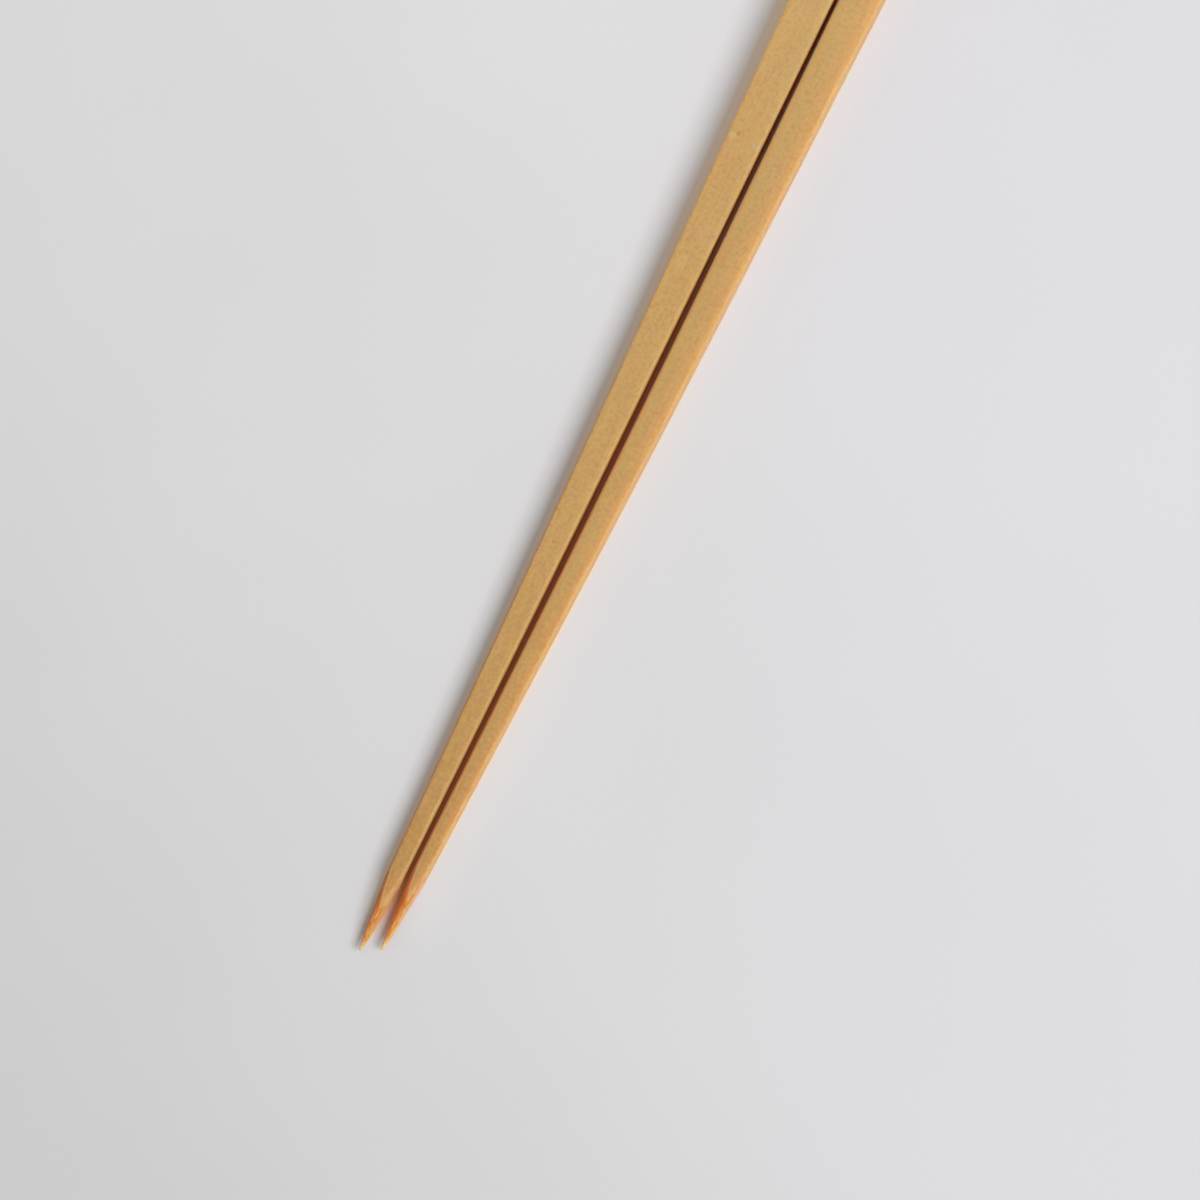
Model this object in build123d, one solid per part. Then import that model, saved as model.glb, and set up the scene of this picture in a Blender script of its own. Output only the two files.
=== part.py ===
from build123d import *
from math import atan, degrees, hypot
import os

# Pair of square, tapered bamboo chopsticks lying side by side on a level surface.
# Millimetres. The points lie towards -Y, the butts towards +Y, and both sticks rest on z = 0.
# A station is a distance along a stick, counted from its point.

# Both sticks, as planed before they are sharpened
LENGTH = 225.0
BUTT_HEIGHT = 6.9
POINT_HEIGHT = 2.4
EDGE_RADIUS = 0.5
BUTT_FACE_FILLET = 0.25

# The left stick is the wider one
LEFT_BUTT_WIDTH = 7.9
LEFT_POINT_WIDTH = 2.12
RIGHT_BUTT_WIDTH = 7.7
RIGHT_POINT_WIDTH = 1.9

# Sharpened point: a round nose, a top flat that runs out at FLAT_END, corners cut back as far as CORNER_END
NOSE_DIAMETER = 0.36
NOSE_SLOPE = 0.15
LEFT_FLAT_END = 7.5
RIGHT_FLAT_END = 8.6
CORNER_END = 23.0
CORNER_SLOPE = 0.05
SHARPENING_WASTE = 0.5

# The pair as it lies: the gap between the inner faces, and how far the left stick is pushed forward
POINT_GAP = 0.62
BUTT_GAP = 0.3
LEFT_LEAD = 1.4

# Natural bend of each stick, sideways towards +X: where it is sharpened, at its belly and at its node
BELLY_STATION = 72.0
LEFT_NODE_STATION = 125.0
LEFT_NECK_BEND = 0.08
LEFT_BELLY_BEND = 0.18
LEFT_NODE_BEND = 0.08
RIGHT_NODE_STATION = 140.0
RIGHT_NECK_BEND = 0.2
RIGHT_BELLY_BEND = 0.54
RIGHT_NODE_BEND = 0.31


def at_station(station, point_value, butt_value):
    """Value of a size that changes evenly from the point to the butt."""
    return point_value + (butt_value - point_value) * station / LENGTH


def section_size(side, station):
    """Width and height of a planed stick; side is -1 for the left stick and +1 for the right one."""
    if side < 0:
        width = at_station(station, LEFT_POINT_WIDTH, LEFT_BUTT_WIDTH)
    else:
        width = at_station(station, RIGHT_POINT_WIDTH, RIGHT_BUTT_WIDTH)
    height = at_station(station, POINT_HEIGHT, BUTT_HEIGHT)
    return width, height


def section_centre(side, station, bend):
    """Middle of the planed stick at a station."""
    width, height = section_size(side, station)
    half_gap = at_station(station, POINT_GAP, BUTT_GAP) / 2
    return Vector(side * (half_gap + width / 2) + bend, station, height / 2)


def section(side, station, bend):
    """Rounded rectangle across the stick, with its lower edge on z = 0."""
    width, height = section_size(side, station)
    plane = Plane(origin=section_centre(side, station, bend), x_dir=(1, 0, 0), z_dir=(0, -1, 0))
    return plane * RectangleRounded(width, height, EDGE_RADIUS)


def planed_stick(side, neck_bend, belly_bend, node_station, node_bend):
    """Square tapered stick, lofted through its bends, with some length to lose at the point."""
    lofted = loft(
        [
            section(side, -SHARPENING_WASTE, 0),
            section(side, CORNER_END, neck_bend),
            section(side, BELLY_STATION, belly_bend),
            section(side, node_station, node_bend),
            section(side, LENGTH, 0),
        ]
    )
    # The bends are sideways only, so the underside and the top are made true planes
    underside, *around, top = lofted.faces().sort_by(Axis.Z)
    flats = [Face(underside.outer_wire()), Face(top.outer_wire())]
    return Solid(Shell(flats + around))


def sharpening(side, neck_bend, flat_end):
    """What the sharpening takes away: everything outside an ogive along the stick's own axis."""
    _, flat_height = section_size(side, flat_end)
    corner_width, corner_height = section_size(side, CORNER_END)
    corner_reach = EDGE_RADIUS + hypot(corner_width / 2 - EDGE_RADIUS, corner_height / 2 - EDGE_RADIUS)
    waste_start = -2 * SHARPENING_WASTE
    waste_end = 2 * CORNER_END
    waste_radius = corner_reach + CORNER_SLOPE * (waste_end - CORNER_END)

    nose_radius = NOSE_DIAMETER / 2
    nose = CenterArc((nose_radius, 0), nose_radius, 180, degrees(atan(NOSE_SLOPE)) - 90)
    ogive = Spline(
        nose @ 1,
        (flat_end, flat_height / 2),
        (CORNER_END, corner_reach),
        (waste_end, waste_radius),
        tangents=[(1, NOSE_SLOPE), (1, CORNER_SLOPE)],
    )
    outside = Polyline(ogive @ 1, (waste_start, waste_radius), (waste_start, 0), (0, 0))
    profile = make_face(nose + ogive + outside)

    point = section_centre(side, 0, 0)
    along = section_centre(side, CORNER_END, neck_bend) - point
    along_stick = Plane(origin=point, x_dir=along, z_dir=along.cross(Vector(1, 0, 0)))
    return revolve(along_stick * profile, axis=Axis(point, along))


def chopstick(side, neck_bend, belly_bend, node_station, node_bend, flat_end):
    """One finished stick: planed, sharpened, and eased round its butt face."""
    planed = planed_stick(side, neck_bend, belly_bend, node_station, node_bend)
    stick = planed - sharpening(side, neck_bend, flat_end)
    butt_face = stick.faces().sort_by(Axis.Y)[-1]
    return fillet(butt_face.edges(), BUTT_FACE_FILLET)


left = Pos(0, -LEFT_LEAD, 0) * chopstick(
    -1, LEFT_NECK_BEND, LEFT_BELLY_BEND, LEFT_NODE_STATION, LEFT_NODE_BEND, LEFT_FLAT_END
)
right = chopstick(
    1, RIGHT_NECK_BEND, RIGHT_BELLY_BEND, RIGHT_NODE_STATION, RIGHT_NODE_BEND, RIGHT_FLAT_END
)

# The origin lies under the middle of the pair's footprint
footprint = Compound([left, right]).bounding_box()
to_origin = Pos(-footprint.center().X, -footprint.center().Y, 0)

os.makedirs("parts", exist_ok=True)
export_step(to_origin * left, "parts/left_chopstick.step")
export_step(to_origin * right, "parts/right_chopstick.step")
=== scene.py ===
import math

import bpy
import numpy as np
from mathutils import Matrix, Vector, noise


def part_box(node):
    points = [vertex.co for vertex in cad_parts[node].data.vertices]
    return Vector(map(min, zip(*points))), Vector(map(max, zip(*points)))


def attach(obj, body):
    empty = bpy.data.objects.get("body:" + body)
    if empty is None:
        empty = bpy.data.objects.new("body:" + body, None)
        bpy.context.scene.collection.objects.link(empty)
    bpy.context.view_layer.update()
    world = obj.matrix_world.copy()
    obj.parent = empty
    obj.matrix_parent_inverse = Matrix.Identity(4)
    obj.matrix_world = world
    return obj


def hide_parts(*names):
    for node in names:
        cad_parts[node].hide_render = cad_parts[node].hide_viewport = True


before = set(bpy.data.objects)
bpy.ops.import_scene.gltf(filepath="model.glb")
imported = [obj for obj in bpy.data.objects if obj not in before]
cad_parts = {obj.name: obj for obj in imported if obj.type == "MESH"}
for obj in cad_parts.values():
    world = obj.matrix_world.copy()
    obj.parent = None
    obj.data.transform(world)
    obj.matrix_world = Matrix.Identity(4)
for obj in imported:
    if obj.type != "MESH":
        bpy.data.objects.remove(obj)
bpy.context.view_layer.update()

bl_info = {
    "name": "Bamboo chopsticks",
    "version": (1, 0, 0),
    "blender": (4, 5, 0),
    "location": "View3D > Sidebar > Chopsticks",
    "description": "Models a pair of square, tapered bamboo chopsticks with sharpened points",
    "category": "Add Mesh",
}

MM = 0.001


# Settings


def length_setting(name, description, default):
    return bpy.props.FloatProperty(
        name=name, description=description, default=default, unit="LENGTH", precision=5
    )


def place_setting(name, description, default):
    return bpy.props.FloatVectorProperty(
        name=name, description=description, default=default, subtype="XYZ", unit="LENGTH", size=3
    )


def colour_setting(name, description, default, most=1):
    return bpy.props.FloatVectorProperty(
        name=name, description=description, default=default, subtype="COLOR", size=3, min=0, max=most
    )


def power_setting(name, description, default):
    return bpy.props.FloatProperty(
        name=name, description=description, default=default, min=0, unit="POWER"
    )


class StickSettings(bpy.types.PropertyGroup):
    """Sizes that the two sticks share"""

    length: length_setting("Length", "From point to butt", 225 * MM)
    left_butt_width: length_setting("Left butt width", "Width of the left stick at the butt", 7.9 * MM)
    left_point_width: length_setting(
        "Left point width", "Width that the left planed taper would have at the point", 2.12 * MM
    )
    right_butt_width: length_setting(
        "Right butt width", "Width of the right stick at the butt", 7.7 * MM
    )
    right_point_width: length_setting(
        "Right point width", "Width that the right planed taper would have at the point", 1.9 * MM
    )
    butt_height: length_setting("Butt height", "Height of the butts", 6.9 * MM)
    point_height: length_setting(
        "Point height", "Height that the planed tapers would have at the point", 2.4 * MM
    )
    edge_radius: length_setting("Edge radius", "Rounding of the long edges", 0.5 * MM)
    butt_fillet: length_setting("Butt fillet", "Easing round the butt face", 0.25 * MM)
    nose_diameter: length_setting("Nose diameter", "Diameter of the round nose", 0.36 * MM)
    corner_end: length_setting("Corner end", "How far from the point the corners are cut back", 23 * MM)
    point_gap: length_setting("Gap at the points", "Between the two tapers", 0.62 * MM)
    butt_gap: length_setting("Gap at the butts", "Between the two butts", 0.3 * MM)
    corner_steps: bpy.props.IntProperty(
        name="Corner steps", description="Faces round each long edge", default=8, min=2
    )
    flat_steps: bpy.props.IntProperty(
        name="Flat steps", description="Faces across each side", default=16, min=2
    )


class FinishSettings(bpy.types.PropertyGroup):
    """Colours of the bamboo, and of the light and shade painted on it"""

    pale: colour_setting("Pale fibre", "Paler, cooler fibres of the planed faces", (0.65, 0.46, 0.18))
    deep: colour_setting("Deep fibre", "Darker fibres and the pores", (0.42, 0.23, 0.062))
    # Painted shade: the faces along the gap are tinted redder and darker, as shade in the gap
    gap_face_shade: colour_setting("Inner face", "Tint of the faces along the gap", (0.72, 0.27, 0.06))
    # Painted warm shade on the top, beside the gap
    gap_side_shade: colour_setting("Beside the gap", "Warm tint on top, by the gap", (0.72, 0.375, 0.125))
    cut_deep: colour_setting("Deep streak", "Darker streaks of the cut surface", (0.50, 0.19, 0.028))
    cut_pale: colour_setting("Pale streak", "Paler streaks of the cut surface", (0.74, 0.385, 0.14))
    cut_shade: colour_setting("Shaded cut", "Cut surface away from the window", (0.36, 0.125, 0.022))
    cut_light: colour_setting("Lit cut", "Cut surface towards the window", (0.85, 0.58, 0.42))
    tip: colour_setting("Tip", "First millimetres of each point", (0.84, 0.60, 0.50))
    # Painted highlight: a pale line along the crease, stronger on the side towards the window
    crease: colour_setting("Crease", "Line where a flat meets the cut surface", (0.82, 0.57, 0.32))
    # Painted shade on the long edges away from the window
    lee_shade: colour_setting("Lee edge", "Long edges away from the window", (0.35, 0.155, 0.047))
    # Painted light on the lower rounding towards the window, where the stick meets the paper
    foot: colour_setting("Foot", "Lower rounding towards the window", (0.92, 0.64, 0.42))
    roughness: bpy.props.FloatProperty(
        name="Roughness",
        description="Roughness of the planed faces",
        default=0.62,
        min=0,
        max=1,
        subtype="FACTOR",
    )


class StageSettings(bpy.types.PropertyGroup):
    """Floor, light and camera"""

    floor_size: length_setting("Floor size", "Side of the square floor", 3.0)
    floor_colour: colour_setting("Floor colour", "Colour of the paper floor", (0.705, 0.717, 0.735))
    paper_right: colour_setting("Paper on the right", "Bluer tint on the right", (0.682, 0.690, 0.745))
    gap_point: colour_setting("Gap, points", "Paper in the gap at the points", (1.0, 0.52, 0.26))
    gap_butt: colour_setting("Gap, butts", "Paper in the gap at the butts", (1.0, 0.72, 0.52))
    left_shade: colour_setting("Left shade", "Paper close to the left stick", (0.96, 0.88, 0.80))
    right_glow: colour_setting("Right glow", "Paper at the right stick's foot", (0.9, 0.75, 0.55))
    camera_place: place_setting(
        "Camera place", "Where the camera stands", (28.37 * MM, -98.84 * MM, 346.6 * MM)
    )
    camera_target: place_setting(
        "Camera target", "Point in the middle of the picture", (7.21 * MM, -55.01 * MM, 0.0)
    )
    camera_lens: bpy.props.FloatProperty(
        name="Lens", description="Focal length in millimetres on a 36 mm sensor", default=75.0, min=1
    )
    window_place: place_setting("Window place", "Middle of the large soft light", (0.88, -0.05, 1.22))
    window_size: length_setting("Window size", "Side of the large soft light", 0.95)
    window_power: power_setting("Window power", "Power of the large soft light", 18.8)
    window_tint: colour_setting("Window colour", "Colour of the soft light", (0.97, 1.0, 1.04), most=2)
    wall_place: place_setting(
        "Wall place", "Middle of the weak light from behind on the left", (-0.16, 0.17, 0.2)
    )
    wall_size: length_setting("Wall size", "Side of the weak light", 0.25)
    wall_power: power_setting("Wall power", "Power of the weak light", 0.1)
    room_tint: colour_setting(
        "Room colour", "Colour of the even light from all round", (1.12, 0.98, 0.86), most=2
    )
    room_light: bpy.props.FloatProperty(
        name="Room light", description="Strength of the even light from all round", default=0.34, min=0
    )


# The two sticks differ in their bends, their nodes and the way they were sharpened.
# Lengths in millimetres; stations are counted from the point, bends are sideways towards +X.
STICKS = {
    "left_stick": {
        "node": "left_chopstick",
        "side": -1,
        "bends": ((0, 0.0), (23, 0.08), (72, 0.18), (125, 0.08), (225, 0.0)),
        "flat_end": 7.5,
        "seed": 3.1,
    },
    "right_stick": {
        "node": "right_chopstick",
        "side": 1,
        "bends": ((0, 0.0), (23, 0.2), (72, 0.54), (140, 0.31), (225, 0.0)),
        "flat_end": 8.6,
        "seed": 17.7,
    },
}
# Runs along the blank: where each ends, and how many cuts it gets
RUNS = ((1.2, 24), (12, 90), (24, 60), (72, 60), (121, 40), (129, 22), (137, 6), (145, 22), (225, 44))
BUTT_FILLET_STEPS = 4
# Edges under this angle are shaded smooth, in degrees
SMOOTH_ANGLE = 40

# The sharpened point, in millimetres. Its outline holds each slope over a short run. Past the corners
# it leaves the stick.
NOSE_SLOPE = 0.15
NOSE_RUN = 0.5
CORNER_SLOPE = 0.05
CORNER_RUN = 10
LEAVING_SLOPE = 4 * CORNER_SLOPE
# How far the crease between a flat and the cut surface is eased, and where no cut reaches any more
CREASE = 0.04
CUT_LIMIT = 30
# Share by which the points are slimmer across than high, and where it grows and goes
SLIMNESS = 0.25
SLIM_GROWS = (0, 7)
SLIM_GOES = (8.5, 13.5)
# Small ridges of the cut surface: height, where they start and rise, and how fine in x, y and z
RIDGE_HEIGHT = 0.035
RIDGE_START = 0.3
RIDGE_RISE = (0.2, 2.5)
COARSE_RIDGES = (5.0, 0.42, 5.0)
FINE_RIDGES = (11.0, 0.9, 11.0)

# Marks for the material. The cut comes in over this depth, and a painted highlight follows its crease.
CUT_DEPTH = (-0.01, 0.05)
CREASE_HIGHLIGHT_WIDTH = 0.07
CREASE_HIGHLIGHT_RUN = (4, 24)
# Shares of an edge's rounding, from flat on to square to it, or of the stick's width
# Turn of the rounding that masks the painted shade on the faces along the gap
GAP_FACE_SHADE_TURN = (0.5, 0.95)
# Turns of the rounding that mask the painted light at the foot
FOOT_LIGHT_TURN_DOWN, FOOT_LIGHT_TURN_OUT = (0.2, 0.9), (0.1, 0.8)
# Share of the width beside the gap that takes the painted warm shade
GAP_SIDE_SHADE_WIDTH = (0.06, 0.36)


# Modelling helpers


def deselect_all():
    for obj in bpy.context.selected_objects:
        obj.select_set(False)


def edit(obj):
    """Edit mode on one object."""
    bpy.context.view_layer.objects.active = obj
    obj.select_set(True)
    bpy.ops.object.mode_set(mode="EDIT")


def leave_edit():
    bpy.ops.object.mode_set(mode="OBJECT")


def select_edges(obj, wanted):
    """Selects, in edit mode, the edges whose two ends pass the test."""
    bpy.ops.mesh.select_all(action="DESELECT")
    bpy.ops.object.mode_set(mode="OBJECT")
    corners = obj.data.vertices
    found = 0
    for edge in obj.data.edges:
        first, last = (corners[i].co for i in edge.vertices)
        edge.select = wanted(first, last)
        found += edge.select
    bpy.ops.object.mode_set(mode="EDIT")
    if not found:
        raise RuntimeError("no edge is where the model expects one")


def blend_curve(knots, at):
    """Smooth curve through the knots, as a cubic with natural ends."""
    x = np.array([k[0] for k in knots], float)
    y = np.array([k[1] for k in knots], float)
    h = np.diff(x)
    count = len(x)
    system = np.eye(count)
    right = np.zeros(count)
    for i in range(1, count - 1):
        system[i, i - 1 : i + 2] = h[i - 1], 2 * (h[i - 1] + h[i]), h[i]
        right[i] = 6 * ((y[i + 1] - y[i]) / h[i] - (y[i] - y[i - 1]) / h[i - 1])
    curve = np.linalg.solve(system, right)
    i = np.clip(np.searchsorted(x, at) - 1, 0, count - 2)
    before, after = x[i + 1] - at, at - x[i]
    return (
        curve[i] * before**3 / (6 * h[i])
        + curve[i + 1] * after**3 / (6 * h[i])
        + (y[i] / h[i] - curve[i] * h[i] / 6) * before
        + (y[i + 1] / h[i] - curve[i + 1] * h[i] / 6) * after
    )


def smooth_min(a, b, width):
    """The lesser of two lengths, with the crease between them eased."""
    near = np.maximum(width - np.abs(a - b), 0)
    return np.minimum(a, b) - near**2 / (4 * width)


def soft_step(low, high, at):
    x = np.clip((at - low) / (high - low), 0, 1)
    return x * x * (3 - 2 * x)


def noise_at(points, scale, seed):
    """Smooth noise, about -1 to 1, at points that are stretched by scale."""
    shift = Vector((seed, -seed * 1.7, seed * 0.6))
    return np.array([noise.noise(Vector(p) + shift) for p in points * np.array(scale)])


# Sticks


def model_blank(sizes):
    """Straight square bar along +Y, from the point's station to the butt, with rounded long edges."""
    deselect_all()
    bpy.ops.mesh.primitive_plane_add(size=1, rotation=(math.pi / 2, 0, 0), location=(0, 0, 0))
    blank = bpy.context.object
    blank.name = "stick_blank"
    bpy.ops.object.transform_apply(location=True, rotation=True, scale=True)
    edit(blank)
    bpy.ops.mesh.select_all(action="SELECT")
    bpy.ops.transform.resize(
        value=(sizes.left_butt_width, 1, sizes.butt_height), center_override=(0, 0, 0)
    )
    bpy.ops.mesh.bevel(
        offset=sizes.edge_radius, segments=sizes.corner_steps, profile=0.5, affect="VERTICES"
    )
    long_edge = sizes.edge_radius * 2
    select_edges(blank, lambda a, b: (a - b).length > long_edge)
    bpy.ops.mesh.subdivide(number_cuts=sizes.flat_steps - 1)
    bpy.ops.mesh.select_all(action="SELECT")
    bpy.ops.mesh.normals_make_consistent(inside=False)
    start = 0.0
    for end, _ in RUNS:
        bpy.ops.mesh.extrude_region_move(TRANSFORM_OT_translate={"value": (0, (end - start) * MM, 0)})
        start = end
    # A fillet all round the butt face
    bpy.ops.mesh.region_to_loop()
    bpy.ops.mesh.bevel(
        offset=sizes.butt_fillet, segments=BUTT_FILLET_STEPS, profile=0.5, affect="EDGES"
    )
    leave_edit()
    return blank


def cut_runs(blank):
    """Rings along each run of the blank, close together where there is detail."""
    edit(blank)
    bpy.ops.mesh.select_mode(type="EDGE")
    start = 0.0
    for end, cuts in RUNS:
        low, high = start * MM, end * MM
        middle = (low + high) / 2
        slack = 0.3 * MM
        select_edges(
            blank,
            lambda a, b: abs(a.y - b.y) > (high - low) * 0.5
            and abs((a.y + b.y) / 2 - middle) < slack,
        )
        bpy.ops.mesh.subdivide_edgering(number_cuts=cuts, interpolation="LINEAR")
        start = end
    leave_edit()


def close_point(blank):
    """Draws the small end together in one pole."""
    edit(blank)
    bpy.ops.mesh.select_mode(type="VERT")
    bpy.ops.mesh.select_all(action="DESELECT")
    bpy.ops.object.mode_set(mode="OBJECT")
    for corner in blank.data.vertices:
        corner.select = abs(corner.co.y) < 0.001 * MM
    bpy.ops.object.mode_set(mode="EDIT")
    bpy.ops.mesh.merge(type="CENTER")
    bpy.ops.mesh.select_all(action="SELECT")
    bpy.ops.mesh.normals_make_consistent(inside=False)
    leave_edit()


def section_size(sizes, stick, station):
    """Width and height of the planed stick at a station, in millimetres."""
    share = station * MM / sizes.length
    point_width, butt_width = (
        (sizes.left_point_width, sizes.left_butt_width)
        if stick["side"] < 0
        else (sizes.right_point_width, sizes.right_butt_width)
    )
    return [
        (point + (butt - point) * share) / MM
        for point, butt in ((point_width, butt_width), (sizes.point_height, sizes.butt_height))
    ]


def ogive_radius(station, sizes, stick):
    """Radius of the sharpened point: a round nose, then a slender curve out to the corners."""
    nose = sizes.nose_diameter / 2 / MM
    edge = sizes.edge_radius / MM
    flat_end, end = stick["flat_end"], sizes.corner_end / MM
    _, flat_height = section_size(sizes, stick, flat_end)
    width, height = section_size(sizes, stick, end)
    reach = edge + math.hypot(width / 2 - edge, height / 2 - edge)
    knots = (
        (nose, nose),
        (nose + NOSE_RUN, nose + NOSE_RUN * NOSE_SLOPE),
        (flat_end, flat_height / 2),
        (end, reach),
        (end + CORNER_RUN, reach + CORNER_RUN * CORNER_SLOPE),
    )
    body = blend_curve(knots, np.maximum(station, nose))
    ahead = np.clip(station, 0, nose)
    ball = np.sqrt(np.maximum(nose**2 - (nose - ahead) ** 2, 0))
    beyond = reach + (station - end) * LEAVING_SLOPE
    return np.where(station < nose, ball, np.where(station > end, np.maximum(beyond, body), body))


def fit_section(sizes, outline, width, height):
    """The blank's outline fitted to each planed section, and each point's step out from its core."""
    edge = sizes.edge_radius / MM
    core = np.array([sizes.left_butt_width / 2 / MM - edge, sizes.butt_height / 2 / MM - edge])
    inner = np.clip(outline, -core, core)
    step = (outline - inner) / edge
    half = np.stack([width / 2 - edge, height / 2 - edge], axis=1)
    return inner / core * half + step * edge, step


def sharpen(sizes, stick, station, across):
    """Takes away what lies outside the ogive, leaves small ridges, and marks what was cut."""
    slim = 1 - SLIMNESS * soft_step(*SLIM_GROWS, station) * (1 - soft_step(*SLIM_GOES, station))
    across[:, 0] /= slim
    radius = np.maximum(np.hypot(across[:, 0], across[:, 1]), 1e-6)
    around = across / radius[:, None]
    ogive = ogive_radius(station, sizes, stick)
    kept = np.maximum(smooth_min(radius, ogive, CREASE), 0)
    cut = soft_step(*CUT_DEPTH, radius - ogive) * (station < CUT_LIMIT)
    first, last = CREASE_HIGHLIGHT_RUN
    # Mask of the painted highlight along the crease
    line = np.exp(-(((radius - ogive) / CREASE_HIGHLIGHT_WIDTH) ** 2))
    line = line * (station > first) * (station < last)

    near = (cut > 0) & (station > RIDGE_START)
    spots = np.stack([around[:, 0] * kept, station, around[:, 1] * kept], axis=1)[near]
    ridges = np.zeros(len(station))
    ridges[near] = noise_at(spots, COARSE_RIDGES, stick["seed"]) + 0.5 * noise_at(
        spots, FINE_RIDGES, stick["seed"] + 9
    )
    kept = kept + RIDGE_HEIGHT * ridges * cut * soft_step(*RIDGE_RISE, station)
    across = around * kept[:, None]
    across[:, 0] *= slim
    return across, {"cut": cut, "crease_highlight": line, "turn": around[:, 0] * cut}


def shape_stick(obj, sizes, stick, point_place):
    """Tapers, bends and sharpens a copy of the blank, and marks its parts for the material."""
    mesh = obj.data
    place = np.empty(len(mesh.vertices) * 3)
    mesh.vertices.foreach_get("co", place)
    place = place.reshape(-1, 3) / MM
    station = place[:, 1].copy()
    width, height = section_size(sizes, stick, station)
    gap = (sizes.point_gap + (sizes.butt_gap - sizes.point_gap) * station * MM / sizes.length) / MM
    across, step = fit_section(sizes, place[:, (0, 2)], width, height)
    across, marks = sharpen(sizes, stick, station, across)

    # The middle of the pair's footprint is the middle of its butts
    footprint = (sizes.left_butt_width - sizes.right_butt_width) / 2 / MM
    middle = footprint + stick["side"] * (gap + width) / 2 + blend_curve(stick["bends"], station)
    place[:, 0] = middle + across[:, 0]
    place[:, 1] = station + point_place / MM
    place[:, 2] = height / 2 + across[:, 1]
    mesh.vertices.foreach_set("co", (place * MM).reshape(-1))

    out, up = step[:, 0], step[:, 1]
    from_gap = 0.5 + stick["side"] * across[:, 0] / width
    marks["station"] = station
    marks["facing"] = out
    # Mask of the painted shade on the faces that look into the gap
    marks["gap_face_shade"] = soft_step(*GAP_FACE_SHADE_TURN, -stick["side"] * out)
    # Mask of the painted warm shade on the top beside the gap
    marks["gap_side_shade"] = 1 - soft_step(*GAP_SIDE_SHADE_WIDTH, from_gap)
    # Mask of the painted light on the lower rounding towards the window
    marks["foot"] = soft_step(*FOOT_LIGHT_TURN_DOWN, -up) * soft_step(*FOOT_LIGHT_TURN_OUT, out)
    for name, values in marks.items():
        held = mesh.attributes.new(name=name, type="FLOAT", domain="POINT")
        held.data.foreach_set("value", values.astype(np.float32))
    mesh.update()


class CHOPSTICKS_OT_sticks(bpy.types.Operator):
    """Models both sticks from one planed blank"""

    bl_idname = "chopsticks.sticks"
    bl_label = "Sticks"

    def execute(self, context):
        sizes = context.scene.stick_settings
        blank = model_blank(sizes)
        cut_runs(blank)
        close_point(blank)
        for name, stick in STICKS.items():
            deselect_all()
            obj = bpy.data.objects.new(name, blank.data.copy())
            obj.data.name = name
            context.scene.collection.objects.link(obj)
            low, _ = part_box(stick["node"])
            shape_stick(obj, sizes, stick, low.y)
            obj.select_set(True)
            context.view_layer.objects.active = obj
            bpy.ops.object.shade_smooth_by_angle(angle=math.radians(SMOOTH_ANGLE))
            obj.data.materials.clear()
            obj.data.materials.append(bpy.data.materials[name + "_bamboo"])
            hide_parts(stick["node"])
            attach(obj, "root")
        bpy.data.objects.remove(blank)
        return {"FINISHED"}


# Finish


def set_inputs(tree, node, inputs):
    for key, value in inputs.items():
        if isinstance(value, bpy.types.NodeSocket):
            tree.links.new(value, node.inputs[key])
        else:
            node.inputs[key].default_value = value


def add_node(tree, kind, inputs=None, **settings):
    node = tree.nodes.new(kind)
    for key, value in settings.items():
        setattr(node, key, value)
    set_inputs(tree, node, inputs or {})
    return node


def maths(tree, operation, first, second=0.0, third=0.0, clamp=False):
    inputs = {0: first, 1: second, 2: third}
    node = add_node(tree, "ShaderNodeMath", inputs, operation=operation, use_clamp=clamp)
    return node.outputs[0]


def product(tree, first, *others):
    for other in others:
        first = maths(tree, "MULTIPLY", first, other)
    return first


def mix_colour(tree, factor, first, second):
    node = add_node(tree, "ShaderNodeMix", {"Factor": factor, 6: first, 7: second}, data_type="RGBA")
    return node.outputs[2]


def map_range(tree, value, from_low, from_high, to_low=0.0, to_high=1.0, smooth=True):
    inputs = {
        "Value": value,
        "From Min": from_low,
        "From Max": from_high,
        "To Min": to_low,
        "To Max": to_high,
    }
    kind = "SMOOTHSTEP" if smooth else "LINEAR"
    return add_node(tree, "ShaderNodeMapRange", inputs, interpolation_type=kind).outputs["Result"]


def colour(rgb):
    return (*rgb, 1.0)


def new_group(name, ins, outs):
    group = bpy.data.node_groups.new(name, "ShaderNodeTree")
    for label, kind, default in ins:
        socket = group.interface.new_socket(name=label, in_out="INPUT", socket_type=kind)
        if default is not None:
            socket.default_value = default
    for label, kind in outs:
        group.interface.new_socket(name=label, in_out="OUTPUT", socket_type=kind)
    return group, group.nodes.new("NodeGroupInput"), group.nodes.new("NodeGroupOutput")


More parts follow.
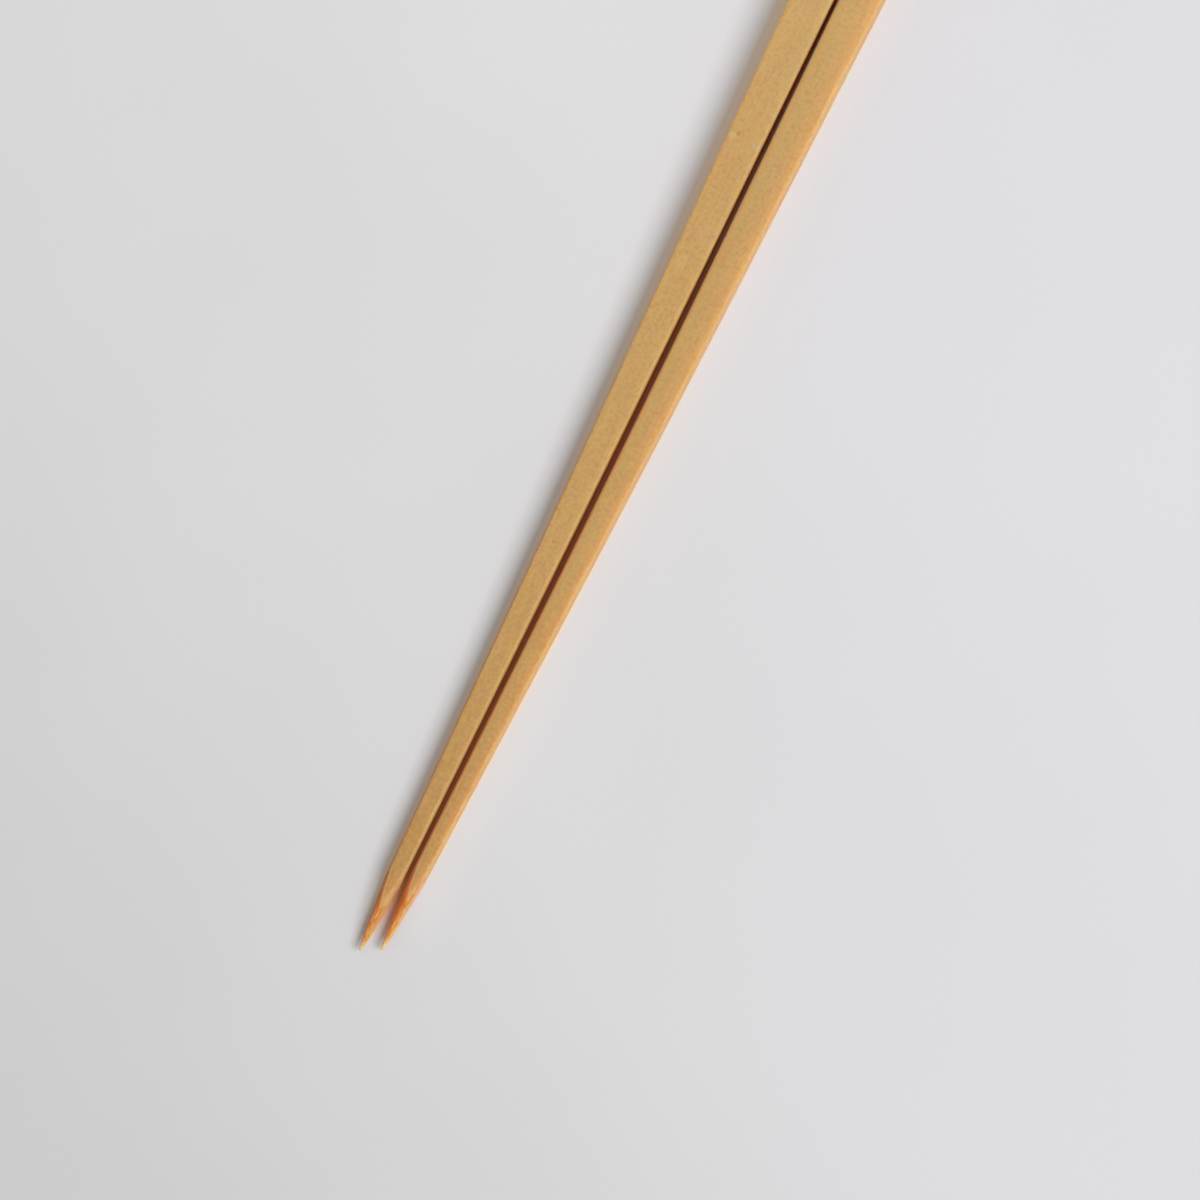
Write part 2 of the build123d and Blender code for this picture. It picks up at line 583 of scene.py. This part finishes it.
def make_grain_group():
    """Fine lengthwise fibres, soft blotches and short pores, in object coordinates."""
    group, source, result = new_group(
        "Bamboo grain",
        (("Vector", "NodeSocketVector", None), ("Fibre size", "NodeSocketFloat", 0.3 * MM)),
        (("Fibre", "NodeSocketFloat"), ("Blotch", "NodeSocketFloat"), ("Pore", "NodeSocketFloat")),
    )
    vector = source.outputs["Vector"]
    per_fibre = maths(group, "DIVIDE", 1.0, source.outputs["Fibre size"])

    def noise_of(stretch, scale, detail, roughness=0.55):
        scaled = add_node(
            group, "ShaderNodeVectorMath", {0: vector, 1: stretch}, operation="MULTIPLY"
        ).outputs[0]
        return add_node(
            group,
            "ShaderNodeTexNoise",
            {"Vector": scaled, "Scale": scale, "Detail": detail, "Roughness": roughness},
        ).outputs[0]

    fibre = noise_of((1, 0.04, 1), per_fibre, 3.0, 0.6)
    blotch = noise_of((1, 0.35, 1), 260.0, 2.0)
    pore = noise_of((1, 0.09, 1), maths(group, "MULTIPLY", per_fibre, 1.3), 1.0)
    group.links.new(map_range(group, fibre, 0.25, 0.75, smooth=False), result.inputs["Fibre"])
    group.links.new(map_range(group, blotch, 0.3, 0.7), result.inputs["Blotch"])
    group.links.new(map_range(group, pore, 0.62, 0.78), result.inputs["Pore"])
    return group


def make_spot_group():
    """A soft round spot on the top of a stick, at a place given in metres."""
    group, source, result = new_group(
        "Spot",
        (
            ("Vector", "NodeSocketVector", None),
            ("Place", "NodeSocketVector", (0, 0, 0)),
            ("Stretch", "NodeSocketVector", (1, 1, 1)),
            ("Radius", "NodeSocketFloat", 0.5 * MM),
        ),
        (("Mask", "NodeSocketFloat"),),
    )
    away = add_node(
        group,
        "ShaderNodeVectorMath",
        {0: source.outputs["Vector"], 1: source.outputs["Place"]},
        operation="SUBTRACT",
    ).outputs[0]
    scaled = add_node(
        group, "ShaderNodeVectorMath", {0: away, 1: source.outputs["Stretch"]}, operation="MULTIPLY"
    ).outputs[0]
    distance = add_node(group, "ShaderNodeVectorMath", {0: scaled}, operation="LENGTH").outputs["Value"]
    share = maths(group, "DIVIDE", distance, source.outputs["Radius"])
    group.links.new(map_range(group, share, 0.45, 1.0, 1.0, 0.0), result.inputs["Mask"])
    return group


def use_group(tree, group, inputs):
    node = tree.nodes.new("ShaderNodeGroup")
    node.node_tree = group
    set_inputs(tree, node, inputs)
    return node


def attribute(tree, name):
    node = add_node(tree, "ShaderNodeAttribute", attribute_name=name, attribute_type="GEOMETRY")
    return node.outputs["Fac"]


def new_material(name):
    """Empty node tree of a new material, with its object coordinates."""
    material = bpy.data.materials.new(name)
    material.use_nodes = True
    tree = material.node_tree
    tree.nodes.clear()
    return material, tree, add_node(tree, "ShaderNodeTexCoord").outputs["Object"]


def finish_material(tree, shader):
    out = add_node(tree, "ShaderNodeOutputMaterial")
    tree.links.new(shader.outputs[0], out.inputs[0])


# Marks on the top faces: centre in the frame, stretch, radius, strength and colour; in millimetres
MARKS = {
    "left_stick": (
        ((-4.48, 12.5, 4.9), (1.0, 1.1, 0.5), 0.75, 0.4, (0.72, 0.55, 0.36)),
        ((-3.83, 13.0, 4.9), (1.0, 0.8, 0.5), 0.38, 0.4, (0.30, 0.17, 0.07)),
        ((-0.83, 12.3, 4.9), (0.9, 1.0, 0.5), 0.75, 0.25, (0.70, 0.50, 0.42)),
        ((-1.96, -50.9, 3.65), (1.0, 1.0, 0.5), 0.3, 0.5, (0.34, 0.22, 0.09)),
        ((-3.1, -7.5, 4.5), (1.2, 0.6, 0.5), 1.1, 0.25, (0.70, 0.50, 0.26)),
        ((-2.0, -2.2, 4.6), (1.2, 0.7, 0.5), 1.0, 0.2, (0.70, 0.50, 0.26)),
    ),
    "right_stick": (
        ((2.2, -2.9, 4.6), (1.0, 0.5, 0.5), 1.3, 0.3, (0.62, 0.33, 0.13)),
        ((1.22, -62.3, 3.4), (1.4, 0.5, 0.5), 0.7, 0.2, (0.48, 0.25, 0.08)),
    ),
}
# How the tone of each stick runs: colours at the point and the butt, station of the node in millimetres,
# how much paler it is past the node, painted light on the edge that faces the window, and painted warm
# shade beside the gap
TONES = {
    "left_stick": {
        "point": (0.52, 0.308, 0.1),
        "butt": (0.70, 0.485, 0.21),
        "node": 125.0,
        "past_node": 0.05,
        "lit": (0.60, 0.287, 0.16),
        "gap_side_shade": 0.0,
    },
    "right_stick": {
        "point": (0.50, 0.316, 0.1),
        "butt": (0.66, 0.475, 0.2),
        "node": 142.0,
        "past_node": 0.2,
        "lit": (0.565, 0.335, 0.222),
        "gap_side_shade": 0.6,
    },
}
NODE_HALF_LENGTH = 1.5
# How a tint comes or goes: over which run of what it follows, and how much of it is laid on at either end.
# Stations are in millimetres. Facing and turn go from -1, away from the window, to 1, towards it.
TINT_RUNS = {
    "belly_comes": ((15, 60), (0.0, 1.0)),
    "belly_goes": ((130, 85), (0.0, 0.3)),
    "pale_mottle": ((0.42, 0.72), (0.0, 0.4)),
    "deep_mottle": ((0.58, 0.28), (0.0, 0.3)),
    "pale_streak": ((0.3, 0.7), (0.0, 1.0)),
    "cut_shade": ((-0.15, -0.85), (0.0, 0.7)),
    "cut_light": ((0.45, 0.95), (0.0, 0.5)),
    "tip": ((0.2, 2.4), (0.6, 0.0)),
    # Painted light on the faces towards the window
    "lit": ((0.15, 0.75), (0.0, 0.65)),
    # Painted highlight along the crease: where it runs, and stronger towards the window
    "crease_along": ((7.0, 13.0), (1.0, 0.25)),
    "crease_across": ((-0.2, 0.2), (0.15, 0.5)),
    # Painted shade on the edges away from the window, strongest near the points
    "lee_shade_along": ((2.0, 170.0), (0.88, 0.0)),
    "lee_shade_across": ((-0.3, -0.9), (0.0, 1.0)),
    # Painted shade on the faces along the gap, stronger towards the points
    "gap_face_shade": ((60.0, 150.0), (0.45, 0.1)),
}
# How much of a tint is laid on where its mask is full
# The foot's share is painted light; the other shares are the wood's own marks
SHARES = {"blotch": 0.12, "between_fibres": 0.28, "pore": 0.25, "cut": 0.9, "foot": 0.7}
TONE_RUN = (10.0, 190.0)
# Grain, in millimetres, and mottle, per metre
FIBRE_SIZE = 0.32
CUT_FIBRE_SIZE = 0.24
MOTTLE_SCALE = 1900.0


def lay_tints(tree, base, tints):
    """Lays one tint after another over a colour, each by its own factor."""
    for factor, tint in tints:
        base = mix_colour(tree, factor, base, colour(tint))
    return base


def mark_tints(tree, place, spot, marks):
    """Factor and colour of each mark on a stick."""
    for centre, stretch, radius, strength, tint in marks:
        inputs = {
            "Vector": place,
            "Place": [c * MM for c in centre],
            "Stretch": stretch,
            "Radius": radius * MM,
        }
        mask = use_group(tree, spot, inputs).outputs["Mask"]
        yield product(tree, mask, strength), tint


def make_bamboo(name, finish, grain, spot):
    """Bamboo of one stick: planed faces, orange cut point, node and marks, with painted light and shade.
    """
    _, tree, place = new_material(name + "_bamboo")
    seed, tone = STICKS[name]["seed"], TONES[name]
    shifted = add_node(
        tree, "ShaderNodeMapping", {"Vector": place, "Location": (seed * 0.01, seed * 0.02, 0)}
    ).outputs[0]
    fibres = use_group(tree, grain, {"Vector": shifted, "Fibre size": FIBRE_SIZE * MM})
    cut_fibres = use_group(tree, grain, {"Vector": shifted, "Fibre size": CUT_FIBRE_SIZE * MM})
    fibre, blotch, pore = (fibres.outputs[k] for k in ("Fibre", "Blotch", "Pore"))
    cut_fibre = cut_fibres.outputs["Fibre"]
    mottle = add_node(
        tree, "ShaderNodeTexNoise", {"Vector": shifted, "Scale": MOTTLE_SCALE, "Detail": 3.0}
    ).outputs[0]
    cut, facing, station, turn = (attribute(tree, k) for k in ("cut", "facing", "station", "turn"))

    def over(value, name):
        run, laid = TINT_RUNS[name]
        return map_range(tree, value, *run, *laid)

    # Planed faces
    run = map_range(tree, station, *TONE_RUN, smooth=False)
    base = mix_colour(tree, run, colour(tone["point"]), colour(tone["butt"]))
    node = tone["node"]
    past_node = map_range(tree, station, node - NODE_HALF_LENGTH, node + NODE_HALF_LENGTH)
    belly = product(tree, over(station, "belly_comes"), over(station, "belly_goes"))
    between_fibres = maths(tree, "SUBTRACT", 1.0, fibre)
    tints = [
        (belly, finish.pale),
        (product(tree, past_node, tone["past_node"]), finish.pale),
        (product(tree, blotch, SHARES["blotch"]), finish.pale),
        (over(mottle, "pale_mottle"), finish.pale),
        (over(mottle, "deep_mottle"), finish.deep),
        (product(tree, between_fibres, SHARES["between_fibres"]), finish.deep),
        (product(tree, pore, SHARES["pore"]), finish.deep),
        # Painted warm shade beside the gap, laid on the right stick only
        (product(tree, attribute(tree, "gap_side_shade"), tone["gap_side_shade"]), finish.gap_side_shade),
        *mark_tints(tree, place, spot, MARKS[name]),
    ]
    base = lay_tints(tree, base, tints)

    # Cut surface of the point, then painted light and shade on the cut, along the edges and on the faces
    # along the gap, and a paler tip
    pale_streak = over(cut_fibre, "pale_streak")
    streaks = mix_colour(tree, pale_streak, colour(finish.cut_deep), colour(finish.cut_pale))
    base = mix_colour(tree, product(tree, cut, SHARES["cut"]), base, streaks)
    line = attribute(tree, "crease_highlight")
    crease = product(tree, line, over(station, "crease_along"), over(facing, "crease_across"))
    lee_shade = product(tree, over(facing, "lee_shade_across"), over(station, "lee_shade_along"))
    gap_face_shade = product(tree, attribute(tree, "gap_face_shade"), over(station, "gap_face_shade"))
    tints = [
        (over(turn, "cut_shade"), finish.cut_shade),
        (over(turn, "cut_light"), finish.cut_light),
        (over(station, "tip"), finish.tip),
        # Painted light on the faces towards the window
        (over(facing, "lit"), tone["lit"]),
        # Painted highlight along the crease
        (crease, finish.crease),
        # Painted shade on the edges away from the window
        (lee_shade, finish.lee_shade),
        # Painted light on the lower rounding towards the window
        (product(tree, attribute(tree, "foot"), SHARES["foot"]), finish.foot),
        # Painted shade on the faces along the gap
        (gap_face_shade, finish.gap_face_shade),
    ]
    base = lay_tints(tree, base, tints)

    # Fibres are a little smoother than what lies between them, and the cut surface is rougher
    rough = maths(tree, "MULTIPLY_ADD", fibre, -0.12, finish.roughness + 0.06)
    rough = maths(tree, "MULTIPLY_ADD", cut, 0.1, rough, clamp=True)
    height = maths(tree, "MULTIPLY_ADD", pore, -0.6, fibre)
    height = maths(tree, "MULTIPLY_ADD", product(tree, cut_fibre, cut), 1.5, height)
    bump = add_node(tree, "ShaderNodeBump", {"Height": height, "Strength": 0.35, "Distance": 0.03 * MM})
    inputs = {
        "Base Color": base,
        "Roughness": rough,
        "Normal": bump.outputs[0],
        "IOR": 1.5,
        "Specular IOR Level": 0.35,
        "Subsurface Weight": 1.0,
        "Subsurface Radius": (1.0, 0.3, 0.08),
        "Subsurface Scale": 8 * MM,
    }
    finish_material(tree, add_node(tree, "ShaderNodeBsdfPrincipled", inputs))


class CHOPSTICKS_OT_finish(bpy.types.Operator):
    """Makes the bamboo of both sticks"""

    bl_idname = "chopsticks.finish"
    bl_label = "Bamboo"

    def execute(self, context):
        finish = context.scene.finish_settings
        grain, spot = make_grain_group(), make_spot_group()
        for name in STICKS:
            make_bamboo(name, finish, grain, spot)
        return {"FINISHED"}


# Stage

# The floor lies a hair below the sticks, so that no two faces share a place
FLOOR_LEVEL = -0.02 * MM
# The paper's places: x runs across the sticks and y along them, both from the frame's origin.
# A slow gradient runs along x times its slant, plus y. A line along the sticks is x = line + slope * y.
NEAR_SLANT, RIGHT_SLANT = 0.35, 1.84
# Painted shade lowers the paper towards the near left, and painted light lifts it a little further off
NEAR_RUN, NEAR_LEVEL = (-190 * MM, -60 * MM), (0.885, 1.0)
FAR_RUN, FAR_LEVEL = (-50 * MM, 20 * MM), (1.0, 1.03)
RIGHT_RUN, RIGHT_SHARE = (-90 * MM, 110 * MM), 0.5
CLOUD_CONTRAST = 0.008
CLOUD_SCALE, TOOTH_SCALE = 25.0, 900.0
# The tints by the sticks start past the points and end before the butts
POINTS_START, BUTTS_END = (-112 * MM, -102 * MM), (104 * MM, 111 * MM)
# Light that comes off the lit side of the right stick: line, reach, strength, and start under the stick
LIT_LINE, LIT_SLOPE = 5.4 * MM, 0.0252
LIT_REACH, LIT_SHARE, LIT_START = (0.5 * MM, 6.5 * MM), 0.055, (-3 * MM, -1 * MM)
# Warm glow at the foot of that side: the foot's line and bend, then as above
FOOT_LINE, FOOT_SLOPE, FOOT_BEND = 4.97 * MM, 0.0251, 0.55 * MM
BEND_GROWS, BEND_GOES = (-112 * MM, -50 * MM), (-60 * MM, 113 * MM)
GLOW_REACH, GLOW_SHARE, GLOW_START = (0.0, 0.55 * MM), 0.9, (-2.5 * MM, -1.5 * MM)
GLOW_COMES = (-103 * MM, -95 * MM)
# Bamboo-coloured light: in the gap, and in the shade close to the left stick, wider towards the butts
TINT_RUN = (-60 * MM, 40 * MM)
GAP_MIDDLE, GAP_EDGE = 0.25 * MM, (0.8 * MM, 1.8 * MM)
LEFT_LINE, LEFT_SLOPE = -5.1 * MM, -0.025
SHADE_REACH, SHADE_START = (1.4 * MM, 3.0 * MM), (-1.5 * MM, -0.5 * MM)
# Distance from the origin over which the paper fades into the backdrop
BACKDROP_RUN = (0.3, 0.85)


def paper_ground(tree, place, x, y, stage):
    """The paper's colour, a little bluer towards the right, and its level: painted shade towards the near
    left, and a little painted light further off.
    """
    inputs = {"Vector": place, "Scale": CLOUD_SCALE, "Detail": 2.0}
    cloud = add_node(tree, "ShaderNodeTexNoise", inputs).outputs[0]
    darker = [c * (1 - CLOUD_CONTRAST) for c in stage.floor_colour]
    paler = [min(c * (1 + CLOUD_CONTRAST), 1) for c in stage.floor_colour]
    base = mix_colour(tree, map_range(tree, cloud, 0.3, 0.7), colour(darker), colour(paler))
    near = maths(tree, "MULTIPLY_ADD", x, NEAR_SLANT, y)
    # Painted shade towards the near left, and a little painted light further off
    level = product(
        tree, map_range(tree, near, *NEAR_RUN, *NEAR_LEVEL), map_range(tree, near, *FAR_RUN, *FAR_LEVEL)
    )
    right = maths(tree, "MULTIPLY_ADD", x, RIGHT_SLANT, y)
    right = map_range(tree, right, *RIGHT_RUN, 0.0, RIGHT_SHARE)
    return mix_colour(tree, right, base, colour(stage.paper_right)), level


def tint_paper(tree, x, y, base, level, stage):
    """Light that the sticks throw on the paper beside them and between them."""
    along = product(tree, map_range(tree, y, *POINTS_START), map_range(tree, y, *BUTTS_END, 1, 0))
    beyond = maths(tree, "SUBTRACT", x, maths(tree, "MULTIPLY_ADD", y, LIT_SLOPE, LIT_LINE))
    lit = product(
        tree,
        map_range(tree, beyond, *LIT_REACH, LIT_SHARE, 0.0),
        along,
        map_range(tree, beyond, *LIT_START),
    )
    level = product(tree, level, maths(tree, "ADD", lit, 1.0))
    scaled = add_node(tree, "ShaderNodeVectorMath", {0: base, "Scale": level}, operation="SCALE")

    bend = map_range(tree, y, *BEND_GOES, FOOT_BEND, 0, smooth=False)
    bend = product(tree, map_range(tree, y, *BEND_GROWS), bend)
    foot = maths(tree, "ADD", bend, FOOT_LINE)
    off_foot = maths(tree, "SUBTRACT", x, maths(tree, "MULTIPLY_ADD", y, FOOT_SLOPE, foot))
    glow = product(
        tree,
        map_range(tree, off_foot, *GLOW_REACH, GLOW_SHARE, 0),
        along,
        map_range(tree, y, *GLOW_COMES),
        map_range(tree, off_foot, *GLOW_START),
    )
    from_middle = maths(tree, "ABSOLUTE", maths(tree, "SUBTRACT", x, GAP_MIDDLE))
    gap = product(tree, along, map_range(tree, from_middle, *GAP_EDGE, 1, 0))
    to_butts = map_range(tree, y, *TINT_RUN)
    warm = mix_colour(tree, to_butts, colour(stage.gap_point), colour(stage.gap_butt))
    outside = maths(tree, "SUBTRACT", maths(tree, "MULTIPLY_ADD", y, LEFT_SLOPE, LEFT_LINE), x)
    share = maths(tree, "DIVIDE", outside, map_range(tree, y, *TINT_RUN, *SHADE_REACH))
    beside = product(
        tree, map_range(tree, share, 0.25, 1.0, 1, 0), map_range(tree, outside, *SHADE_START)
    )

    base = mix_colour(tree, glow, scaled.outputs[0], colour(stage.right_glow))
    base = mix_colour(tree, gap, base, warm)
    return mix_colour(tree, product(tree, along, beside), base, colour(stage.left_shade))


def make_paper(stage):
    """Matt paper with a faint tooth."""
    material, tree, place = new_material("paper_floor")
    x, y, _ = add_node(tree, "ShaderNodeSeparateXYZ", {"Vector": place}).outputs
    base, level = paper_ground(tree, place, x, y, stage)
    base = tint_paper(tree, x, y, base, level, stage)
    inputs = {"Vector": place, "Scale": TOOTH_SCALE, "Detail": 3.0}
    tooth = add_node(tree, "ShaderNodeTexNoise", inputs).outputs[0]
    bump = add_node(tree, "ShaderNodeBump", {"Height": tooth, "Strength": 0.2, "Distance": 0.1 * MM})
    shader = add_node(
        tree,
        "ShaderNodeBsdfPrincipled",
        {"Base Color": base, "Roughness": 0.9, "Normal": bump.outputs[0], "Specular IOR Level": 0.2},
    )
    # Far off the paper fades into the backdrop, as the camera sees it
    distance = add_node(tree, "ShaderNodeVectorMath", {0: place}, operation="LENGTH").outputs["Value"]
    rays = add_node(tree, "ShaderNodeLightPath").outputs["Is Camera Ray"]
    far = product(tree, map_range(tree, distance, *BACKDROP_RUN), rays)
    backdrop = add_node(
        tree, "ShaderNodeEmission", {"Color": colour(stage.floor_colour), "Strength": 1.0}
    )
    inputs = {0: far, 1: shader.outputs[0], 2: backdrop.outputs[0]}
    finish_material(tree, add_node(tree, "ShaderNodeMixShader", inputs))
    return material


def aim(obj, target):
    obj.rotation_mode = "QUATERNION"
    obj.rotation_quaternion = (Vector(target) - obj.location).to_track_quat("-Z", "Y")


def add_lamp(name, place, size, power):
    """Square soft light that faces the frame's origin."""
    light = bpy.data.lights.new(name, "AREA")
    light.shape = "SQUARE"
    light.size = size
    light.energy = power
    lamp = bpy.data.objects.new(name, light)
    lamp.location = place
    aim(lamp, (0, 0, 0))
    bpy.context.scene.collection.objects.link(lamp)
    return lamp


def add_room(stage):
    """Even light from all round, which the camera sees as the pale backdrop."""
    world = bpy.data.worlds.new("room")
    world.use_nodes = True
    tree = world.node_tree
    unseen = tree.nodes["Background"]
    set_inputs(tree, unseen, {"Color": colour(stage.room_tint), "Strength": stage.room_light})
    seen = add_node(
        tree, "ShaderNodeBackground", {"Color": colour(stage.floor_colour), "Strength": 1.0}
    )
    rays = add_node(tree, "ShaderNodeLightPath").outputs["Is Camera Ray"]
    split = add_node(tree, "ShaderNodeMixShader", {0: rays, 1: unseen.outputs[0], 2: seen.outputs[0]})
    tree.links.new(split.outputs[0], tree.nodes["World Output"].inputs["Surface"])
    bpy.context.scene.world = world


class CHOPSTICKS_OT_stage(bpy.types.Operator):
    """Lays the floor and sets the light and the camera"""

    bl_idname = "chopsticks.stage"
    bl_label = "Stage"

    def execute(self, context):
        stage = context.scene.stage_settings
        deselect_all()
        bpy.ops.mesh.primitive_plane_add(size=stage.floor_size, location=(0, 0, FLOOR_LEVEL))
        floor = context.object
        floor.name = "floor"
        bpy.ops.object.transform_apply(location=True, rotation=True, scale=True)
        floor.data.materials.append(make_paper(stage))

        window = add_lamp("window", stage.window_place, stage.window_size, stage.window_power)
        window.data.color = stage.window_tint
        wall = add_lamp("wall", stage.wall_place, stage.wall_size, stage.wall_power)
        wall.visible_camera = False
        add_room(stage)

        camera = bpy.data.cameras.new("camera")
        camera.lens = stage.camera_lens
        camera.sensor_width = 36
        camera.clip_start = 0.01
        camera.clip_end = 10
        eye = bpy.data.objects.new("camera", camera)
        eye.location = stage.camera_place
        aim(eye, stage.camera_target)
        context.scene.collection.objects.link(eye)
        context.scene.camera = eye
        context.scene.view_settings.view_transform = "Standard"
        return {"FINISHED"}


class CHOPSTICKS_PT_panel(bpy.types.Panel):
    """Lists what the add-on makes"""

    bl_label = "Bamboo chopsticks"
    bl_idname = "CHOPSTICKS_PT_panel"
    bl_space_type = "VIEW_3D"
    bl_region_type = "UI"
    bl_category = "Chopsticks"

    def draw(self, context):
        for kind in (CHOPSTICKS_OT_finish, CHOPSTICKS_OT_sticks, CHOPSTICKS_OT_stage):
            self.layout.operator(kind.bl_idname)
        for group in (
            context.scene.stick_settings,
            context.scene.finish_settings,
            context.scene.stage_settings,
        ):
            box = self.layout.box()
            for name in group.__annotations__:
                box.prop(group, name)


CLASSES = (
    StickSettings,
    FinishSettings,
    StageSettings,
    CHOPSTICKS_OT_finish,
    CHOPSTICKS_OT_sticks,
    CHOPSTICKS_OT_stage,
    CHOPSTICKS_PT_panel,
)
SETTINGS = {
    "stick_settings": StickSettings,
    "finish_settings": FinishSettings,
    "stage_settings": StageSettings,
}


def register():
    for kind in CLASSES:
        bpy.utils.register_class(kind)
    for name, kind in SETTINGS.items():
        setattr(bpy.types.Scene, name, bpy.props.PointerProperty(type=kind))


def unregister():
    for name in SETTINGS:
        delattr(bpy.types.Scene, name)
    for kind in reversed(CLASSES):
        bpy.utils.unregister_class(kind)


def main():
    register()
    bpy.ops.chopsticks.finish()
    bpy.ops.chopsticks.sticks()
    bpy.ops.chopsticks.stage()


if __name__ == "__main__":
    main()
